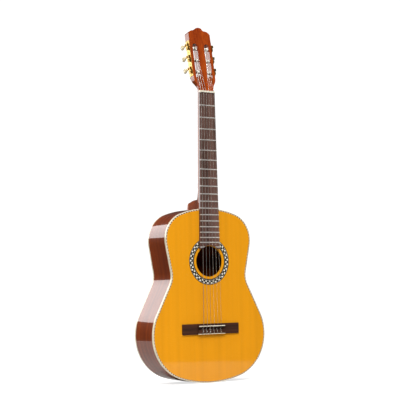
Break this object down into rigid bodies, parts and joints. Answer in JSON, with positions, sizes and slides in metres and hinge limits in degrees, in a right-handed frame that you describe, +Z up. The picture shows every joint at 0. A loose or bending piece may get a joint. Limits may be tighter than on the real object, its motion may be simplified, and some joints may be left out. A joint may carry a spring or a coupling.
{
  "type": "classical guitar",
  "caption": "Nylon-string guitar with a waisted soundbox, round soundhole, fretted neck and slotted head; worm-driven rollers wind the strings.",
  "frame": {"origin": "on the ground plane under the tail, in the middle of the width and of the depth", "axes": "+Z up along the strings to the head, -Y out of the soundboard, +X to the treble side"},
  "size_m": [0.368, 0.1159, 0.9994],
  "materials": {
    "cedar_top": "gloss lacquer",
    "mosaic": "gloss lacquer",
    "cream_binding": "gloss",
    "rosewood_body": "gloss lacquer",
    "mahogany": "gloss lacquer",
    "spruce_inside": "raw",
    "face_veneer": "gloss lacquer",
    "rosewood_dark": "satin",
    "fret_metal": "polished",
    "bone": "satin",
    "gold_metal": "polished",
    "wound_string": "wound",
    "nylon": "clear",
    "roller_plastic": "gloss",
    "button_plastic": "pearl"
  },
  "bodies": {
    "guitar": {"soundboard": "cedar_top", "rosette": "mosaic", "front_binding": "cream_binding", "front_purfling": "mosaic", "back_plate": "rosewood_body", "back_binding": "cream_binding", "tail_graft": "cream_binding", "rib_bass": "rosewood_body", "rib_treble": "rosewood_body", "tail_block": "mahogany", "neck_block": "mahogany", "front_lining": "spruce_inside", "back_lining": "spruce_inside", "top_braces": "spruce_inside", "back_braces": "spruce_inside", "back_seam_strip": "spruce_inside", "heel_cap": "mahogany", "neck": "mahogany", "fingerboard": "rosewood_dark", "frets": "fret_metal", "nut": "bone", "bridge": "rosewood_dark", "tie_block_inlay": "cream_binding", "saddle": "bone", "headstock": "mahogany", "headstock_veneer": "face_veneer", "tuner_plate_bass": "gold_metal", "tuner_plate_treble": "gold_metal", "tuner_plate_screws": "gold_metal", "string_1": "wound_string", "string_2": "wound_string", "string_3": "wound_string", "string_4": "nylon", "string_5": "nylon", "string_6": "nylon"},
    "shaft_1": {"worm_1": "gold_metal", "button_1": "button_plastic"},
    "roller_1": {"roller_1": "roller_plastic", "gear_1": "gold_metal"},
    "shaft_2": {"worm_2": "gold_metal", "button_2": "button_plastic"},
    "roller_2": {"roller_2": "roller_plastic", "gear_2": "gold_metal"},
    "shaft_3": {"worm_3": "gold_metal", "button_3": "button_plastic"},
    "roller_3": {"roller_3": "roller_plastic", "gear_3": "gold_metal"},
    "shaft_4": {"worm_4": "gold_metal", "button_4": "button_plastic"},
    "roller_4": {"roller_4": "roller_plastic", "gear_4": "gold_metal"},
    "shaft_5": {"worm_5": "gold_metal", "button_5": "button_plastic"},
    "roller_5": {"roller_5": "roller_plastic", "gear_5": "gold_metal"},
    "shaft_6": {"worm_6": "gold_metal", "button_6": "button_plastic"},
    "roller_6": {"roller_6": "roller_plastic", "gear_6": "gold_metal"}
  },
  "joints": [
    {"name": "button_turn_1", "type": "hinge", "parent": "guitar", "child": "shaft_1", "pos_m": [-0.04085, -0.02488, 0.87714], "axis": [0, 0.9816, -0.1908], "continuous": true},
    {"name": "roller_turn_1", "type": "hinge", "parent": "guitar", "child": "roller_1", "pos_m": [0, -0.02658, 0.86841], "axis": [1, 0, 0], "continuous": true},
    {"name": "button_turn_2", "type": "hinge", "parent": "guitar", "child": "shaft_2", "pos_m": [-0.04085, -0.0182, 0.9115], "axis": [0, 0.9816, -0.1908], "continuous": true},
    {"name": "roller_turn_2", "type": "hinge", "parent": "guitar", "child": "roller_2", "pos_m": [0, -0.0199, 0.90277], "axis": [1, 0, 0], "continuous": true},
    {"name": "button_turn_3", "type": "hinge", "parent": "guitar", "child": "shaft_3", "pos_m": [-0.04085, -0.01153, 0.94586], "axis": [0, 0.9816, -0.1908], "continuous": true},
    {"name": "roller_turn_3", "type": "hinge", "parent": "guitar", "child": "roller_3", "pos_m": [0, -0.01322, 0.93712], "axis": [1, 0, 0], "continuous": true},
    {"name": "button_turn_4", "type": "hinge", "parent": "guitar", "child": "shaft_4", "pos_m": [0.04085, -0.01153, 0.94586], "axis": [0, 0.9816, -0.1908], "continuous": true},
    {"name": "roller_turn_4", "type": "hinge", "parent": "guitar", "child": "roller_4", "pos_m": [0, -0.01322, 0.93712], "axis": [1, 0, 0], "continuous": true},
    {"name": "button_turn_5", "type": "hinge", "parent": "guitar", "child": "shaft_5", "pos_m": [0.04085, -0.0182, 0.9115], "axis": [0, 0.9816, -0.1908], "continuous": true},
    {"name": "roller_turn_5", "type": "hinge", "parent": "guitar", "child": "roller_5", "pos_m": [0, -0.0199, 0.90277], "axis": [1, 0, 0], "continuous": true},
    {"name": "button_turn_6", "type": "hinge", "parent": "guitar", "child": "shaft_6", "pos_m": [0.04085, -0.02488, 0.87714], "axis": [0, 0.9816, -0.1908], "continuous": true},
    {"name": "roller_turn_6", "type": "hinge", "parent": "guitar", "child": "roller_6", "pos_m": [0, -0.02658, 0.86841], "axis": [1, 0, 0], "continuous": true}
  ],
  "couplings": [
    {"joint": "roller_turn_1", "follows": "button_turn_1", "ratio": 0.071429},
    {"joint": "roller_turn_2", "follows": "button_turn_2", "ratio": 0.071429},
    {"joint": "roller_turn_3", "follows": "button_turn_3", "ratio": 0.071429},
    {"joint": "roller_turn_4", "follows": "button_turn_4", "ratio": 0.071429},
    {"joint": "roller_turn_5", "follows": "button_turn_5", "ratio": 0.071429},
    {"joint": "roller_turn_6", "follows": "button_turn_6", "ratio": 0.071429}
  ]
}
